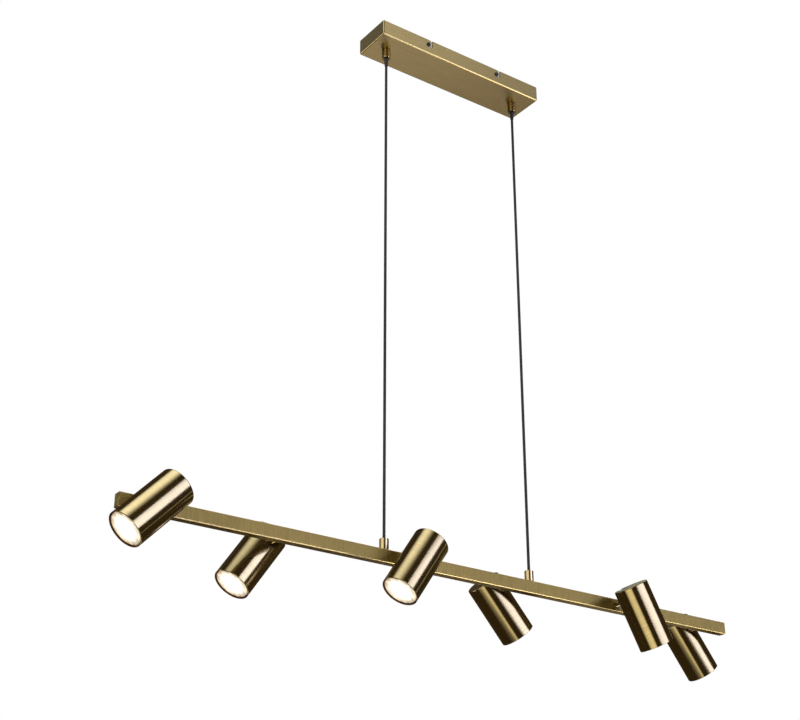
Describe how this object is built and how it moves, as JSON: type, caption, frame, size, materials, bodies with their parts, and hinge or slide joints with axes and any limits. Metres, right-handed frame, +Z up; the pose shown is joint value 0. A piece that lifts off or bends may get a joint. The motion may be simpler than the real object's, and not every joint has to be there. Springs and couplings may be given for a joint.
{
  "type": "pendant light",
  "caption": "Linear pendant light: a rectangular ceiling canopy, black cords and a slim bar with cylindrical spot heads that turn and tilt.",
  "frame": {"origin": "middle of the ceiling strap's top face, which lies on the ceiling", "axes": "+X along the bar, +Z up, -Y towards the viewer"},
  "size_m": [1.1758, 0.165, 1.0051],
  "materials": {
    "antique_brass": "antique brass plating, brushed, satin lacquer",
    "dark_brass": "antique brass plating, satin",
    "bare_brass": "plain brass",
    "zinc_steel": "zinc plated",
    "dark_steel": "blackened, satin",
    "black_cord": "smooth black sheath",
    "black_rubber": "matt",
    "lead_sheath": "grey sheath",
    "white_plastic": "matt, heat resistant",
    "lamp_glass": "glass lens, lit warm white"
  },
  "bodies": {
    "hanger": {"ceiling_strap": "zinc_steel", "canopy": "antique_brass", "hook_screws": "dark_steel", "grip_top_left": "antique_brass", "grip_top_right": "antique_brass", "canopy_nuts": "zinc_steel", "bushings": "black_rubber", "cord_left": "black_cord", "cord_right": "black_cord", "terminal_block": "white_plastic", "earth_terminal": "bare_brass", "canopy_leads": "lead_sheath", "bar": "antique_brass", "end_caps": "antique_brass", "grip_bar_left": "antique_brass", "grip_bar_right": "antique_brass", "bar_nuts": "zinc_steel", "bar_leads": "lead_sheath"},
    "arm_body_1": {"arm_1": "antique_brass", "arm_nut_1": "zinc_steel"},
    "head_body_1": {"shade_1": "antique_brass", "carrier_1": "zinc_steel", "holder_1": "white_plastic", "lamp_1": "lamp_glass", "ring_1": "dark_brass"},
    "arm_body_2": {"arm_2": "antique_brass", "arm_nut_2": "zinc_steel"},
    "head_body_2": {"shade_2": "antique_brass", "carrier_2": "zinc_steel", "holder_2": "white_plastic", "lamp_2": "lamp_glass", "ring_2": "dark_brass"},
    "arm_body_3": {"arm_3": "antique_brass", "arm_nut_3": "zinc_steel"},
    "head_body_3": {"shade_3": "antique_brass", "carrier_3": "zinc_steel", "holder_3": "white_plastic", "lamp_3": "lamp_glass", "ring_3": "dark_brass"},
    "arm_body_4": {"arm_4": "antique_brass", "arm_nut_4": "zinc_steel"},
    "head_body_4": {"shade_4": "antique_brass", "carrier_4": "zinc_steel", "holder_4": "white_plastic", "lamp_4": "lamp_glass", "ring_4": "dark_brass"},
    "arm_body_5": {"arm_5": "antique_brass", "arm_nut_5": "zinc_steel"},
    "head_body_5": {"shade_5": "antique_brass", "carrier_5": "zinc_steel", "holder_5": "white_plastic", "lamp_5": "lamp_glass", "ring_5": "dark_brass"},
    "arm_body_6": {"arm_6": "antique_brass", "arm_nut_6": "zinc_steel"},
    "head_body_6": {"shade_6": "antique_brass", "carrier_6": "zinc_steel", "holder_6": "white_plastic", "lamp_6": "lamp_glass", "ring_6": "dark_brass"}
  },
  "joints": [
    {"name": "turn_1", "type": "hinge", "parent": "hanger", "child": "arm_body_1", "pos_m": [-0.515, 0, -0.922], "axis": [0, -1, 0], "range_deg": [-131, 219]},
    {"name": "tilt_1", "type": "hinge", "parent": "arm_body_1", "child": "head_body_1", "pos_m": [-0.515, -0.041, -0.922], "axis": [-0.7193, 0, 0.6947], "range_deg": [0, 90]},
    {"name": "turn_2", "type": "hinge", "parent": "hanger", "child": "arm_body_2", "pos_m": [-0.309, 0, -0.922], "axis": [0, -1, 0], "range_deg": [-140, 210]},
    {"name": "tilt_2", "type": "hinge", "parent": "arm_body_2", "child": "head_body_2", "pos_m": [-0.309, 0.041, -0.922], "axis": [0.8192, 0, -0.5736], "range_deg": [0, 90]},
    {"name": "turn_3", "type": "hinge", "parent": "hanger", "child": "arm_body_3", "pos_m": [-0.103, 0, -0.922], "axis": [0, -1, 0], "range_deg": [-141, 209]},
    {"name": "tilt_3", "type": "hinge", "parent": "arm_body_3", "child": "head_body_3", "pos_m": [-0.103, -0.041, -0.922], "axis": [-0.829, 0, 0.5592], "range_deg": [0, 90]},
    {"name": "turn_4", "type": "hinge", "parent": "hanger", "child": "arm_body_4", "pos_m": [0.103, 0, -0.922], "axis": [0, -1, 0], "range_deg": [-217, 133]},
    {"name": "tilt_4", "type": "hinge", "parent": "arm_body_4", "child": "head_body_4", "pos_m": [0.103, 0.041, -0.922], "axis": [0.7431, 0, 0.6691], "range_deg": [0, 90]},
    {"name": "turn_5", "type": "hinge", "parent": "hanger", "child": "arm_body_5", "pos_m": [0.309, 0, -0.922], "axis": [0, -1, 0], "range_deg": [-204, 146]},
    {"name": "tilt_5", "type": "hinge", "parent": "arm_body_5", "child": "head_body_5", "pos_m": [0.309, -0.041, -0.922], "axis": [-0.8746, 0, -0.4848], "range_deg": [0, 90]},
    {"name": "turn_6", "type": "hinge", "parent": "hanger", "child": "arm_body_6", "pos_m": [0.515, 0, -0.922], "axis": [0, -1, 0], "range_deg": [-213, 137]},
    {"name": "tilt_6", "type": "hinge", "parent": "arm_body_6", "child": "head_body_6", "pos_m": [0.515, 0.041, -0.922], "axis": [0.788, 0, 0.6157], "range_deg": [0, 90]}
  ]
}
